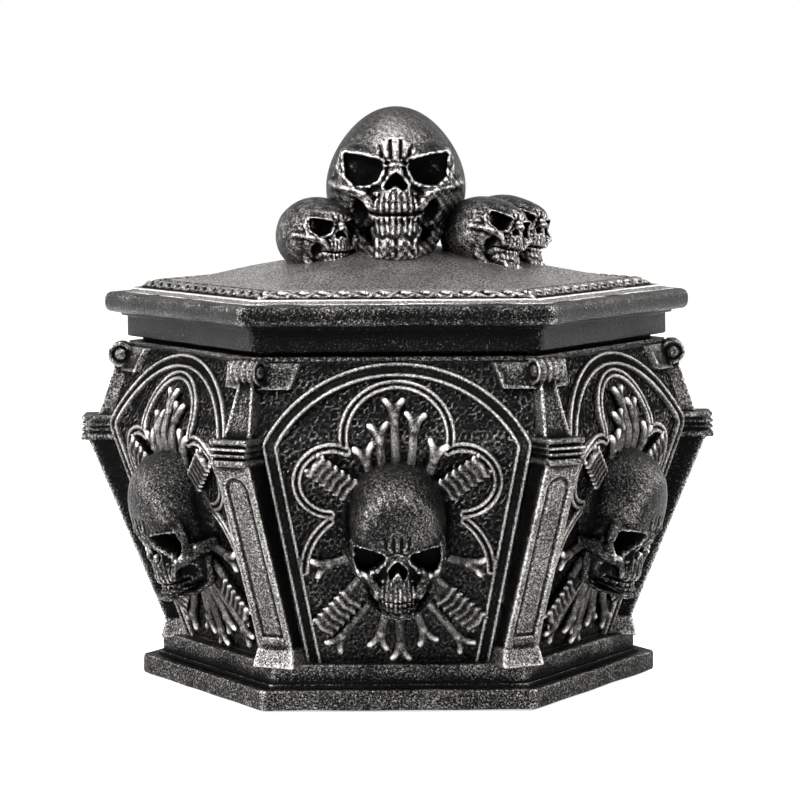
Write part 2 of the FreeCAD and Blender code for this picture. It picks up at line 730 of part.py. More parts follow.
doc.recompute()
for item in doc.Objects:
    if "Invalid" in item.State or "Error" in item.State:
        raise RuntimeError(f"{item.Label} did not recompute: {item.State}")
for node in nodes:
    if node.Shape.isNull() or not node.Shape.isValid():
        raise RuntimeError(f"{node.Label} has no valid shape")

os.makedirs("parts", exist_ok=True)
for node in nodes:
    node.Shape.exportStep(f"parts/{node.Label}.step")
    print(node.Label, len(node.Shape.Solids), "solids", round(node.Shape.Volume, 1), "cubic mm")
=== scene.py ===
import math
import bpy
import numpy as np
from mathutils import Matrix, Vector


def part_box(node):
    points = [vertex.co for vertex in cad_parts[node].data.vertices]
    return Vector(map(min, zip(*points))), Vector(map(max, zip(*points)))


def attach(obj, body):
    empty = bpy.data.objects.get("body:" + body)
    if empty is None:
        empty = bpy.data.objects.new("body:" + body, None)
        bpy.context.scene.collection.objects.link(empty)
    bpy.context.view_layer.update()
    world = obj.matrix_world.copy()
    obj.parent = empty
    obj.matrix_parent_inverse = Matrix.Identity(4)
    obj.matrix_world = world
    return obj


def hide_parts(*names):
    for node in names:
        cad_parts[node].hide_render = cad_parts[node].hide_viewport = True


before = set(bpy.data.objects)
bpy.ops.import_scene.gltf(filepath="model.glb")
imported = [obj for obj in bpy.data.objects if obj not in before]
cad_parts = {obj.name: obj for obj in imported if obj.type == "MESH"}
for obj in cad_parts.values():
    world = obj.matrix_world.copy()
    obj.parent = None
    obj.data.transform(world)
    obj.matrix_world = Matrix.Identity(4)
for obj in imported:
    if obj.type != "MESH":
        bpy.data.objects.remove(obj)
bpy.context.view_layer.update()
bpy.ops.object.select_all(action="DESELECT")


# Felt pad: a six-sided pad of black wool felt let into the underside of the plinth, so that the
# box does not scratch a table. It is cut from sheet and glued into its recess.
class Wire:
    """A socket of a material, so that sums in a shader are written as sums."""

    def __init__(self, tree, socket=None):
        self.tree = tree
        self.socket = socket

    def feed(self, inlet, value):
        if isinstance(value, Wire):
            self.tree.links.new(value.socket, inlet)
        else:
            inlet.default_value = value

    def node(self, kind, settings, values, outlet=0):
        """A new node: its type, its settings, then the values or links of its sockets."""
        made = self.tree.nodes.new(kind)
        for name, value in settings.items():
            setattr(made, name, value)
        for inlet, value in values.items():
            self.feed(made.inputs[inlet], value)
        return Wire(self.tree, made.outputs[outlet]) if made.outputs else made

    def sum(self, operation, first, second):
        return self.node("ShaderNodeMath", {"operation": operation}, {0: first, 1: second})

    def __add__(self, other):
        return self.sum("ADD", self, other)

    def __sub__(self, other):
        return self.sum("SUBTRACT", self, other)

    def __mul__(self, other):
        return self.sum("MULTIPLY", self, other)

    def __rsub__(self, other):
        return self.sum("SUBTRACT", other, self)

    __radd__ = __add__
    __rmul__ = __mul__

    def ramp(self, start, end):
        """0 below the start, 1 above the end, and a soft rise between them."""
        limits = {"Value": self, "From Min": start, "From Max": end}
        return self.node("ShaderNodeMapRange", {"interpolation_type": "SMOOTHSTEP"}, limits)

    def blend(self, low, high):
        """One colour where the socket is 0 and another where it is 1."""
        return self.node("ShaderNodeMix", {"data_type": "RGBA"}, {0: self, 6: low, 7: high}, 2)


def new_material(name):
    """An empty material, and a wire to build its nodes with."""
    material = bpy.data.materials.new(name)
    material.use_nodes = True
    material.node_tree.nodes.clear()
    return material, Wire(material.node_tree)


def surface(wire, values):
    """The surface of a material, from the values of its sockets."""
    shader = wire.node("ShaderNodeBsdfPrincipled", {}, values)
    wire.node("ShaderNodeOutputMaterial", {}, {"Surface": shader})


def noise(wire, place, scale, detail):
    """Cloudy variation between 0 and 1."""
    values = {"Vector": place, "Scale": scale, "Detail": detail}
    return wire.node("ShaderNodeTexNoise", {}, values)


felt_fibre_scale = 2600.0
felt_dark = (0.012, 0.012, 0.013, 1)
felt_light = (0.05, 0.05, 0.052, 1)
felt, wire = new_material("felt")
place = wire.node("ShaderNodeTexCoord", {}, {}, "Object")
fibre = noise(wire, place, felt_fibre_scale, 4.0)
felt_colour = fibre.ramp(0.3, 0.7).blend(felt_dark, felt_light)
fuzz = wire.node("ShaderNodeBump", {}, {"Strength": 0.6, "Distance": 0.0003, "Height": fibre})
surface(wire, {"Base Color": felt_colour, "Roughness": 0.95, "Normal": fuzz})


def rounded_outline(points, steps=4):
    """An outline of (corner distance, level, rounding) points with its corners rounded."""
    outline = []
    for index, (reach, level, rounding) in enumerate(points):
        corner = np.array((reach, level))
        if rounding == 0:
            outline.append(tuple(corner))
            continue
        before = np.array(points[index - 1][:2]) - corner
        after = np.array(points[(index + 1) % len(points)][:2]) - corner
        start = corner + before / np.linalg.norm(before) * rounding
        end = corner + after / np.linalg.norm(after) * rounding
        for share in np.linspace(0, 1, steps + 1):
            curve = start * (1 - share) ** 2 + corner * 2 * share * (1 - share) + end * share**2
            outline.append(tuple(curve))
    return outline


def close_points(outline, closed, spacing):
    """The outline with more points on its long runs, so that none is longer than the spacing."""
    ring = [*outline, outline[0]] if closed else outline
    close = []
    for start, end in zip(ring, ring[1:]):
        parts = max(1, round(math.dist(start, end) / spacing))
        for part in range(parts):
            close.append(tuple(np.array(start) + (np.array(end) - start) * part / parts))
    return close if closed else [*close, outline[-1]]


def select_edges(mesh, wanted):
    """Select the edges whose two ends meet a condition, and nothing else."""
    for vertex in mesh.vertices:
        vertex.select = False
    for face in mesh.polygons:
        face.select = False
    for edge in mesh.edges:
        start, end = (mesh.vertices[index].co for index in edge.vertices)
        edge.select = bool(wanted(start, end))


def turned(start, end):
    """The angle between two places, seen from the middle of the box."""
    return abs(math.atan2(start.cross(end).z, start.xy.dot(end.xy)))


def six_sided(name, points, closed, cuts, corner_rounding, spacing):
    """An outline swept round six corners; an open outline is closed by a flat at each end."""
    same_place = 0.00001
    same_level = 0.0001
    same_corner = 0.1
    next_corner = 0.3
    long_edge = 0.01

    def along_side(start, end):
        level = abs(start.z - end.z) < same_level
        return level and (start - end).xy.length > long_edge and turned(start, end) > next_corner

    outline = close_points(rounded_outline(points), closed, spacing)
    links = [(index, index + 1) for index in range(len(outline) - 1)]
    if closed:
        links.append((len(outline) - 1, 0))
    mesh = bpy.data.meshes.new(name)
    mesh.from_pydata([(reach, 0, level) for reach, level in outline], links, [])
    piece = bpy.data.objects.new(name, mesh)
    bpy.context.collection.objects.link(piece)
    bpy.context.view_layer.objects.active = piece
    piece.select_set(True)
    bpy.ops.object.mode_set(mode="EDIT")
    bpy.ops.mesh.select_mode(type="EDGE")
    bpy.ops.mesh.select_all(action="SELECT")
    bpy.ops.mesh.spin(steps=6, angle=2 * math.pi, center=(0, 0, 0), axis=(0, 0, 1), use_auto_merge=True)
    bpy.ops.mesh.select_all(action="SELECT")
    bpy.ops.mesh.remove_doubles(threshold=same_place)
    bpy.ops.object.mode_set(mode="OBJECT")
    select_edges(mesh, lambda start, end: turned(start, end) < same_corner)
    bpy.ops.object.mode_set(mode="EDIT")
    bpy.ops.mesh.bevel(offset=corner_rounding, segments=3, affect="EDGES")
    bpy.ops.object.mode_set(mode="OBJECT")
    select_edges(mesh, along_side)
    bpy.ops.object.mode_set(mode="EDIT")
    bpy.ops.mesh.subdivide(number_cuts=cuts)
    if not closed:
        bpy.ops.mesh.select_all(action="DESELECT")
        bpy.ops.mesh.select_non_manifold()
        bpy.ops.mesh.edge_face_add()
    bpy.ops.mesh.select_all(action="SELECT")
    bpy.ops.mesh.normals_make_consistent(inside=False)
    bpy.ops.object.mode_set(mode="OBJECT")
    piece.select_set(False)
    return piece


def finish_piece(piece, body, node, material):
    """Give a finished piece its material and its body, and hide the solid that it stands for."""
    piece.data.materials.clear()
    piece.data.materials.append(material)
    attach(piece, body)
    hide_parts(node)


pad_low, pad_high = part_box("felt_pad")
pad_rounding = 0.0003
pad_points = [
    (pad_high.x / 2, pad_high.z, 0), (pad_high.x, pad_high.z, pad_rounding),
    (pad_high.x, pad_low.z, pad_rounding), (pad_high.x / 2, pad_low.z, 0)]
pad = six_sided(
    "felt_pad_visual", pad_points, closed=False, cuts=20, corner_rounding=0.0006, spacing=0.004)
finish_piece(pad, "box", "felt_pad", felt)


# Plinth: foot slab, toe fillet and step, cast in one in grey resin and finished as old pewter: a
# black wash lies in the hollows and silver is brushed over the edges. The walls are bonded on it.
def antique_pewter(name, brushed, speckle, glance):
    """Old pewter: how much silver is brushed over it, how speckled it is and how it shines aslant."""
    cloud_scale = 160.0
    grain_scale = 2300.0
    speck_scale = 4800.0
    full_silver = 1.2
    dull = 0.42
    polish = 0.08
    black_wash = (0.003, 0.003, 0.003, 1)
    bright_silver = (0.505, 0.487, 0.466, 1)
    material, wire = new_material(name)
    place = wire.node("ShaderNodeTexCoord", {}, {}, "Object")
    ridge = wire.node("ShaderNodeAttribute", {"attribute_name": "ridge"}, {}, "Fac")
    wash = wire.node("ShaderNodeAttribute", {"attribute_name": "wash"}, {}, "Fac")
    cloud = noise(wire, place, cloud_scale, 3.0) - 0.5
    grain = noise(wire, place, grain_scale, 3.0) - 0.5
    speck = noise(wire, place, speck_scale, 2.0) - 0.5
    height = grain * 1.5 + speck * 1.5
    tone = ridge * 0.75 - wash * 0.6 + brushed + cloud * 0.3 + height * speckle
    silver = wire.sum("POWER", tone.ramp(0.0, full_silver) * full_silver, 2.5)
    colour = silver.blend(black_wash, bright_silver)
    bump = wire.node("ShaderNodeBump", {}, {"Strength": 0.6, "Distance": 0.0002, "Height": height})
    surface(wire, {
        "Base Color": colour, "Metallic": 1.0, "Roughness": dull - silver * polish,
        "Specular Tint": (glance, glance, glance, 1), "Normal": bump})
    return material


def point_values(mesh, name):
    """The places or the normals of all points of a mesh, one to a row."""
    values = np.empty(len(mesh.vertices) * 3)
    mesh.vertices.foreach_get(name, values)
    return values.reshape(-1, 3)


def weather(piece, sharpness, lift=0.0, even=0):
    """Keep, at every point, how far it stands out of its surroundings, evened out, or lies back."""
    near_rounds = 3
    far_rounds = 40
    flat_edge = 0.08
    wash_share = 0.35
    mesh = piece.data
    count = len(mesh.vertices)
    points = point_values(mesh, "co")
    normals = point_values(mesh, "normal")
    ends = np.empty(len(mesh.edges) * 2, dtype=np.int64)
    mesh.edges.foreach_get("vertices", ends)
    first, second = ends.reshape(-1, 2).T
    links = np.bincount(ends, minlength=count).reshape(-1, 1)

    def relaxed(field, rounds):
        for _ in range(rounds):
            total = np.empty_like(field)
            for axis in range(field.shape[1]):
                total[:, axis] = np.bincount(first, field[second, axis], count)
                total[:, axis] += np.bincount(second, field[first, axis], count)
            field = (field + total / links) / 2
        return field

    near = relaxed(points, near_rounds)
    far = relaxed(near, far_rounds)
    fine = np.einsum("ij,ij->i", points - near, normals) * sharpness
    fine = relaxed(fine.reshape(-1, 1), even).ravel()
    broad = np.einsum("ij,ij->i", points - far, normals) * sharpness
    for name, values in (("ridge", fine - flat_edge + lift), ("wash", -broad * wash_share - lift)):
        layer = mesh.attributes.new(name, "FLOAT", "POINT")
        layer.data.foreach_set("value", np.clip(values, 0, 1).astype(np.float32))
    mesh.polygons.foreach_set("use_smooth", np.ones(len(mesh.polygons), dtype=bool))


def unevenness(piece, amount):
    """Push a cast face in and out a little along long waves."""
    wave_runs = ((310.0, 190.0, 420.0), (-170.0, 380.0, 260.0))
    mesh = piece.data
    points = point_values(mesh, "co")
    waves = sum(np.sin(points @ np.array(run)) for run in wave_runs)
    points += point_values(mesh, "normal") * (waves * amount)[:, None]
    mesh.vertices.foreach_set("co", points.ravel())
    mesh.update()


cast_waves = 0.00004
cast_spacing = 0.0006
side_cuts = 70
plain_pewter = antique_pewter("plain_pewter", brushed=0.35, speckle=0.8, glance=0.5)
plinth_low, plinth_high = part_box("plinth")
foot_side = plinth_high.x
foot_edge = 0.0006
foot_top = plinth_low.z + 0.0041
toe_side = foot_side - 0.0032
toe_top = foot_top + 0.0007
toe_edge = 0.00025
step_side = foot_side - 0.0042
recess_side = foot_side - 0.004
recess_top = 0.0012
floor_side = 0.044
plinth_points = [
    (recess_side, recess_top, 0), (recess_side, plinth_low.z, 0), (foot_side, plinth_low.z, foot_edge),
    (foot_side, foot_top, foot_edge), (toe_side, foot_top, 0), (toe_side, toe_top, toe_edge),
    (step_side, toe_top, 0), (step_side, plinth_high.z, foot_edge), (floor_side, plinth_high.z, 0)]
plinth = six_sided("plinth_visual", plinth_points, False, side_cuts, foot_edge, cast_spacing)
unevenness(plinth, cast_waves)
weather(plinth, sharpness=4000.0)
finish_piece(plinth, "box", "plinth", plain_pewter)


# Walls: six folded slabs of the same cast resin, mitred at the corners, leaning out to the waist and
# in again to the rim. Their ground between the ornaments is punched all over with small pits.
millimetre = 0.001
wall_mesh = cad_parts["wall_front"].data
wall_low, wall_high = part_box("wall_front")
wall_corners = np.array([vertex.co for vertex in wall_mesh.vertices]) / millimetre
level_slack = 0.1


def outer_corner(corners):
    """Of some corners of the front wall, the one farthest forward, and then farthest to the right."""
    return min(corners.tolist(), key=lambda place: (place[1], -place[0]))


waist_corner = wall_corners[np.argmax(wall_corners[:, 0])]
foot_corner = outer_corner(wall_corners[wall_corners[:, 2] < wall_low.z / millimetre + level_slack])
top_corner = outer_corner(wall_corners[wall_corners[:, 2] > wall_high.z / millimetre - level_slack])
foot_edge_line = np.array(foot_corner[1:])
waist_edge_line = waist_corner[1:]
top_edge_line = np.array(top_corner[1:])
lower_length = np.linalg.norm(waist_edge_line - foot_edge_line)
upper_length = np.linalg.norm(top_edge_line - waist_edge_line)
whole_length = lower_length + upper_length
lower_rise = (waist_edge_line - foot_edge_line) / lower_length
upper_rise = (top_edge_line - waist_edge_line) / upper_length
fold_ease = 2.0


def on_wall(places):
    """Points of the front wall, from places across it, up its slope over the fold, and out from it."""
    across, up, out = places.T
    past = up - lower_length
    eased = np.where(abs(past) < fold_ease, (past + fold_ease) ** 2 / (4 * fold_ease), np.maximum(past, 0))
    section = foot_edge_line + up[:, None] * lower_rise + eased[:, None] * (upper_rise - lower_rise)
    turn = np.clip(past / (2 * fold_ease) + 0.5, 0, 1)[:, None]
    rise = lower_rise * (1 - turn) + upper_rise * turn
    rise /= np.linalg.norm(rise, axis=1)[:, None]
    outward = np.stack((-rise[:, 1], rise[:, 0]), axis=1)
    section = section + outward * out[:, None]
    return np.column_stack((across, section))


def half_side(up):
    """Half the width of the wall at a place up its slope."""
    return np.interp(up, (0, lower_length, whole_length), (foot_corner[0], waist_corner[0], top_corner[0]))


pit_pitch = 1.1
pit_radius = 0.46
pit_depth = 0.3
pit_steepness = 1.6
pit_seed = 7
pit_margin = 0.8


def pits(across, up, seed):
    """How deep the punched ground is at each place."""
    chance = np.random.RandomState(seed)
    columns = 90
    shifts = chance.uniform(0.1, 0.9, (columns, columns, 2))
    depths = chance.uniform(0.3, 1.0, (columns, columns))
    column = np.floor(across / pit_pitch).astype(int)
    row = np.floor(up / pit_pitch).astype(int)
    deepest = np.zeros_like(across)
    for aside in (-1, 0, 1):
        for over in (-1, 0, 1):
            cell = ((column + aside) % columns, (row + over) % columns)
            away_across = across - (column + aside + shifts[cell][..., 0]) * pit_pitch
            away_up = up - (row + over + shifts[cell][..., 1]) * pit_pitch
            share = 1 - np.clip((away_across**2 + away_up**2) / pit_radius**2, 0, 1)
            deepest = np.maximum(deepest, np.minimum(share * pit_steepness, 1) * depths[cell])
    return deepest * pit_depth


def mesh_piece(name, points, faces):
    """A new object at the origin from its points, in metres, and its faces."""
    mesh = bpy.data.meshes.new(name)
    mesh.from_pydata(points.tolist(), [], [list(face) for face in faces])
    mesh.update()
    piece = bpy.data.objects.new(name, mesh)
    bpy.context.collection.objects.link(piece)
    return piece


def dress_around(piece, family, places, material):
    """Six copies of a piece, turned about the middle, one for every side or corner of the box."""
    for step, place_name in enumerate(places):
        copy = piece.copy()
        copy.name = f"{family}_{place_name}_visual"
        copy.data = piece.data.copy()
        copy.data.transform(Matrix.Rotation(math.radians(60 * step), 4, "Z"))
        bpy.context.collection.objects.link(copy)
        finish_piece(copy, "box", f"{family}_{place_name}", material)
    bpy.data.objects.remove(piece)


sides = ("front", "front_right", "back_right", "back", "back_left", "front_left")
corners = ("right", "back_right", "back_left", "left", "front_left", "front_right")
wall_thickness = 4.0
wall_step = 0.42
wall_rows = int(whole_length / wall_step)
wall_columns = int(2 * waist_corner[0] / wall_step)
wall_up = np.sort(np.append(np.linspace(0, whole_length, wall_rows), lower_length))
share_across = np.linspace(-1, 1, wall_columns)
up_grid = np.repeat(wall_up, wall_columns)
across_grid = np.tile(share_across, len(wall_up)) * half_side(up_grid)
end_distance = np.minimum(up_grid, whole_length - up_grid)
edge_distance = np.minimum(end_distance, half_side(up_grid) - abs(across_grid))
worn = np.interp(up_grid, (6, 32), (0.35, 1))
ground = -pits(across_grid, up_grid, pit_seed) * np.clip(edge_distance / pit_margin, 0, 1) * worn
outer = on_wall(np.column_stack((across_grid, up_grid, ground)))
index = np.arange(len(outer)).reshape(len(wall_up), wall_columns)
quads = np.stack((index[:-1, :-1], index[:-1, 1:], index[1:, 1:], index[1:, :-1]), axis=-1).reshape(-1, 4)
back_share = math.tan(math.radians(30))
inner = []
for line in (foot_edge_line, waist_edge_line, top_edge_line):
    for hand in (-1, 1):
        inner.append((hand * (-line[0] - wall_thickness) * back_share, line[0] + wall_thickness, line[1]))
base = len(outer)
back_faces = [
    [base + 1, base, base + 2, base + 3], [base + 3, base + 2, base + 4, base + 5],
    [*index[0, ::-1], base, base + 1], [*index[-1], base + 5, base + 4],
    [*index[:, 0], base + 4, base + 2, base], [*index[::-1, -1], base + 1, base + 3, base + 5]]
wall = mesh_piece("wall_pattern", np.vstack((outer, inner)) * millimetre, [*quads.tolist(), *back_faces])
# The ground is made lighter towards the foot of the wall and a little darker towards the rim.
lighter_towards_foot = np.interp(outer[:, 2], (10, 24, 36, 60), (0.2, 0.12, 0.0, -0.06))
weather(wall, sharpness=7000.0, lift=np.append(lighter_towards_foot, np.zeros(len(inner))))
inside = {"ridge": 0.3, "wash": 0.0}
for name, plain in inside.items():
    for spot in wall.data.attributes[name].data[len(outer):]:
        spot.value = plain
ground_pewter = antique_pewter("ground_pewter", brushed=0.18, speckle=0.45, glance=0.45)
dress_around(wall, "wall", sides, ground_pewter)


# Rim: a flat six-sided cap bonded on the walls, with a raised land inside it on which the lid rests,
# so that a thin shadow gap runs round under the lid.
rim_low, rim_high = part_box("rim")
cap_side = rim_high.x
cap_top = rim_low.z + 0.001
land_side = cap_side - 0.0029
mouth_side = cap_side - 0.0055
rim_edge = 0.0003
rim_points = [
    (mouth_side, rim_low.z, 0), (cap_side, rim_low.z, rim_edge), (cap_side, cap_top, rim_edge),
    (land_side, cap_top, 0), (land_side, rim_high.z, rim_edge), (mouth_side, rim_high.z, rim_edge)]
rim = six_sided("rim_visual", rim_points, True, side_cuts, rim_edge, cast_spacing)
weather(rim, sharpness=4000.0)
finish_piece(rim, "box", "rim", plain_pewter)


# Corner pilasters: foot block, leaning shaft with an arched and punched inset, banded capital, neck,
# scroll and two console plates, modelled as one clay piece, cast and bonded over each corner.
def to_drawn(across, up, line, closed=False):
    """How far places in a plane are from a drawn line; less than nothing inside a closed one."""
    away = np.full(np.broadcast(across, up).shape, np.inf)
    inside = np.zeros(away.shape, dtype=bool)
    for (left, low), (right, high) in zip(line, line[1:]):
        run = (right - left, high - low)
        share = np.clip(((across - left) * run[0] + (up - low) * run[1]) / (run[0] ** 2 + run[1] ** 2), 0, 1)
        away = np.minimum(away, np.hypot(across - left - share * run[0], up - low - share * run[1]))
        if closed and low != high:
            inside ^= ((low > up) != (high > up)) & (across < left + (up - low) / run[1] * run[0])
    return np.where(inside, -away, away)


class Clay:
    """Modelling clay on a fine grid, in millimetres: lumps are put on it and hollows scooped out."""

    def __init__(self, low, high, pitch):
        self.pitch = pitch
        self.lines = [np.arange(start, end + pitch, pitch) for start, end in zip(low, high)]
        self.depth = np.full([len(line) for line in self.lines], 5.0)

    def points(self):
        """The coordinates of all points of the grid."""
        return np.meshgrid(*self.lines, indexing="ij", sparse=True)

    def add(self, depth, soft, where=...):
        """Put something on, blended into what is there."""
        old = self.depth[where]
        overlap = np.clip(soft - abs(old - depth), 0, None)
        self.depth[where] = np.minimum(old, depth) - overlap**2 / (4 * soft)

    def scoop(self, depth, soft, where=..., bead=0.0):
        """Take something away, with a softened edge, or with a thin bead laid along it."""
        old = self.depth[where]
        overlap = np.clip(soft - abs(old + depth), 0, None)
        self.depth[where] = np.maximum(old, -depth) + overlap**2 / (4 * soft)
        if bead:
            self.add(np.hypot(old, depth) - bead, bead / 2, where)

    def carve(self, outline, rounding, bottom, soft, bead):
        """A hollow on both sides with a drawn outline, cut from the front down to a bottom."""
        across, up, out = self.points()
        flat = to_drawn(abs(across), up, [*outline, outline[0]], True) - rounding
        self.scoop(np.maximum(flat, bottom - out), soft, bead=bead)

    def press(self, line, radius, amount):
        """Press a groove into the front along a drawn line on both sides, or draw out a ridge."""
        across, up, out = self.points()
        share = np.clip(1 - (to_drawn(abs(across), up, line) / radius) ** 2, 0, 1)
        self.depth += amount * share * np.clip(out - 5, 0, 1)

    def patch(self, low, high):
        """The part of the grid between two corners, with the coordinates of its points."""
        margin = 3.0
        spans = []
        for line, start, end in zip(self.lines, low, high):
            spans.append(slice(*np.searchsorted(line, (start - margin, end + margin))))
        grid = np.meshgrid(*[line[span] for line, span in zip(self.lines, spans)], indexing="ij")
        return tuple(spans), np.stack(grid, axis=-1)

    def lump(self, place, radii, soft, square=2.0, hollow=False):
        """An egg or squarer shape, repeated on the other side."""
        for hand in (1, -1) if place[0] else (1,):
            middle = np.array((hand * place[0], *place[1:]))
            reach = max(radii)
            where, points = self.patch(middle - reach, middle + reach)
            away = points - middle
            near = np.sum(abs(away / radii) ** square, axis=-1) ** (1 / square)
            slope = np.linalg.norm(away / np.square(radii), axis=-1)
            depth = near * (near - 1) / np.maximum(slope, 0.001)
            if hollow:
                self.scoop(depth, soft, where)
            else:
                self.add(depth, soft, where)

    def stroke(self, places, radii, soft, both=True):
        """A round bar along some places, with a radius at each, repeated on the other side."""
        for hand in (1, -1) if both else (1,):
            line = np.array(places) * (hand, 1, 1)
            where, points = self.patch(line.min(axis=0) - max(radii), line.max(axis=0) + max(radii))
            depth = np.full(points.shape[:-1], 9.0)
            for start, end, thick, thin in zip(line, line[1:], radii, radii[1:]):
                run = end - start
                share = np.clip((points - start) @ run / (run @ run), 0, 1)
                gap = np.linalg.norm(points - start - share[..., None] * run, axis=-1)
                depth = np.minimum(depth, gap - thick - (thin - thick) * share)
            self.add(depth, soft, where)

    def skin(self):
        """The clay's closed surface as points and four-cornered faces."""
        field = self.depth
        for axis in range(3):
            layers = np.moveaxis(field, axis, 0)
            layers[[0, -1]] = np.maximum(layers[[0, -1]], self.pitch / 2)
        inside = field < 0
        corner_shifts = [(i, j, k) for i in (0, 1) for j in (0, 1) for k in (0, 1)]
        size = np.array(field.shape) - 1
        filled = np.zeros(size, dtype=np.int8)
        for i, j, k in corner_shifts:
            filled += inside[i:i + size[0], j:j + size[1], k:k + size[2]]
        cells = np.argwhere((filled > 0) & (filled < 8))
        number = np.full(size, -1)
        number[tuple(cells.T)] = np.arange(len(cells))
        total = np.zeros((len(cells), 3))
        hits = np.zeros((len(cells), 1))
        for axis in range(3):
            step = np.eye(3, dtype=int)[axis]
            for shift in corner_shifts:
                if shift[axis]:
                    continue
                start = cells + shift
                first = field[tuple(start.T)]
                second = field[tuple((start + step).T)]
                crossed = (first < 0) != (second < 0)
                share = np.where(crossed, first / np.where(crossed, first - second, 1), 0)
                total += np.where(crossed[:, None], start + share[:, None] * step, 0)
                hits += crossed[:, None]
        origin = np.array([line[0] for line in self.lines])
        points = origin + total / hits * self.pitch
        faces = []
        for axis in range(3):
            ahead = np.take(inside, range(1, field.shape[axis]), axis)
            behind = np.take(inside, range(field.shape[axis] - 1), axis)
            edges = np.argwhere(ahead != behind)
            first, second = [np.eye(3, dtype=int)[other] for other in range(3) if other != axis]
            ring = [number[tuple((edges - shift).T)] for shift in (first * 0, first, first + second, second)]
            quads = np.stack(ring, axis=1)
            outward = behind[tuple(edges.T)] != (axis == 1)
            quads[~outward] = quads[~outward][:, ::-1]
            faces.append(quads)
        return points, np.vstack(faces)


clay = Clay((-9.6, 44.0, 7.8), (9.6, 67.4, 70.6), pitch=0.36)
aside, reach, level = clay.points()
aside = abs(aside)
flat_share = math.cos(math.radians(30))
wall_levels = (foot_corner[2], waist_corner[2], top_corner[2])
wall_sides = (2 * foot_corner[0], 2 * waist_corner[0], 2 * top_corner[0])
wall_flat = np.interp(level, wall_levels, wall_sides) * flat_share
wall_lean = 0.955
off_wall = (reach * flat_share + aside / 2 - wall_flat) * wall_lean


def block(levels, reaches, widths, edge):
    """A leaning block over the corner, from its levels, and its reaches and half widths below and above."""
    share = (level - levels[0]) / (levels[1] - levels[0])
    lean = math.cos(math.atan2(reaches[1] - reaches[0], levels[1] - levels[0]))
    front = (reach - reaches[0] - share * (reaches[1] - reaches[0])) * lean
    beside = aside - widths[0] - share * (widths[1] - widths[0])
    height = abs(level - sum(levels) / 2) - (levels[1] - levels[0]) / 2
    sizes = np.stack(np.broadcast_arrays(front, beside, height)) + edge
    return np.linalg.norm(np.maximum(sizes, 0), axis=0) + np.minimum(sizes.max(axis=0), 0) - edge


block_levels = (8.3, 12.3)
block_reaches = (50.0, 48.9)
block_halves = (4.8, 4.1)
shaft_levels = (11.6, 50.8)
shaft_reaches = (48.5, 64.6)
shaft_half = 3.9
inset_half = 2.15
inset_levels = (14.8, 45.0)
inset_depth = 0.22
clay.add(block(block_levels, block_reaches, block_halves, 0.5), 0.2)
clay.add(block(shaft_levels, shaft_reaches, (shaft_half, shaft_half), 0.3), 0.3)
shaft_lean = math.atan2(shaft_reaches[1] - shaft_reaches[0], shaft_levels[1] - shaft_levels[0])
shaft_front = np.interp(level, shaft_levels, shaft_reaches)
above_inset = np.maximum(level - inset_levels[1], 0)
inset_outline = np.maximum(np.sqrt(aside**2 + above_inset**2) - inset_half, inset_levels[0] - level)
inset_back = shaft_front - inset_depth - reach
inset = np.maximum(inset_outline, inset_back * math.cos(shaft_lean))
clay.scoop(inset, 0.3)
groove_half = 0.3
groove_depth = 0.5
groove_back = inset_back + inset_depth - groove_depth
groove = np.maximum(abs(inset_outline) - groove_half, groove_back * math.cos(shaft_lean))
clay.scoop(groove, 0.2)
capital_bands = (
    (49.9, 51.1, 65.9, 4.15), (50.9, 51.9, 64.6, 3.75), (51.7, 52.3, 65.8, 4.1), (52.1, 53.1, 64.8, 3.8),
    (52.9, 53.5, 65.9, 4.2), (53.3, 54.2, 64.8, 3.85), (54.0, 55.1, 65.6, 4.2))
for low, high, out, half in capital_bands:
    clay.add(block((low, high), (out, out), (half, half), 0.3), 0.15)
neck_levels = (54.8, 67.0)
neck_reaches = (62.3, 58.2)
neck_halves = (3.1, 1.5)
neck_border = 0.65
neck_depth = 0.45
clay.add(block(neck_levels, neck_reaches, neck_halves, 0.3), 0.2)
neck_half = np.interp(level, neck_levels, neck_halves)
neck_hollow = np.maximum(aside - neck_half + neck_border, neck_levels[0] + neck_border - level)
neck_back = np.interp(level, neck_levels, neck_reaches) - neck_depth - reach
clay.scoop(np.maximum(neck_hollow, neck_back), 0.25)
scroll_reach = 57.4
scroll_level = 67.6
scroll_radius = 2.7
scroll_half = 2.85
rib_pitch = 1.42
rib_depth = 0.45
eye_radius = 1.45
eye_half = 0.32
eye_depth = 0.5
round_scroll = np.sqrt((reach - scroll_reach) ** 2 + (level - scroll_level) ** 2)
ribs = rib_depth * np.sin(math.pi * aside / rib_pitch) ** 2
clay.add(np.maximum(round_scroll - scroll_radius + ribs, aside - scroll_half), 0.3)
eye_ring = np.maximum(abs(round_scroll - eye_radius) - eye_half, scroll_half - eye_depth - aside)
clay.scoop(eye_ring, 0.15)
console_levels = (64.2, 69.3)
console_halves = (7.4, 8.3)
console_height = 0.85
console_border = 0.45
border_height = 0.3
console_half = np.interp(level, console_levels, console_halves)
console_edge = np.minimum(console_half - aside, level - console_levels[0])
console_rise = console_height + border_height * (1 - np.clip((console_edge - console_border) / 0.3, 0, 1))
console = np.maximum(np.maximum(off_wall - console_rise, -console_edge), level - console_levels[1])
clay.add(console, 0.15)
pilaster_sink = 0.4
clay.scoop(off_wall + pilaster_sink, 0.1)
points, faces = clay.skin()
beside, out, up = points.T
pilaster = mesh_piece("pilaster_pattern", np.column_stack((out, -beside, up)) * millimetre, faces.tolist())
flank = (abs(beside) > shaft_half - 0.2) & (out < np.interp(up, shaft_levels, shaft_reaches) - 0.45)
lift = np.where(flank & (up > block_levels[1]) & (up < capital_bands[0][0]), -0.7, 0)
lift = np.where(up > capital_bands[0][0], -0.45, lift)
lift = np.where(up > capital_bands[-1][1], -0.2, lift)
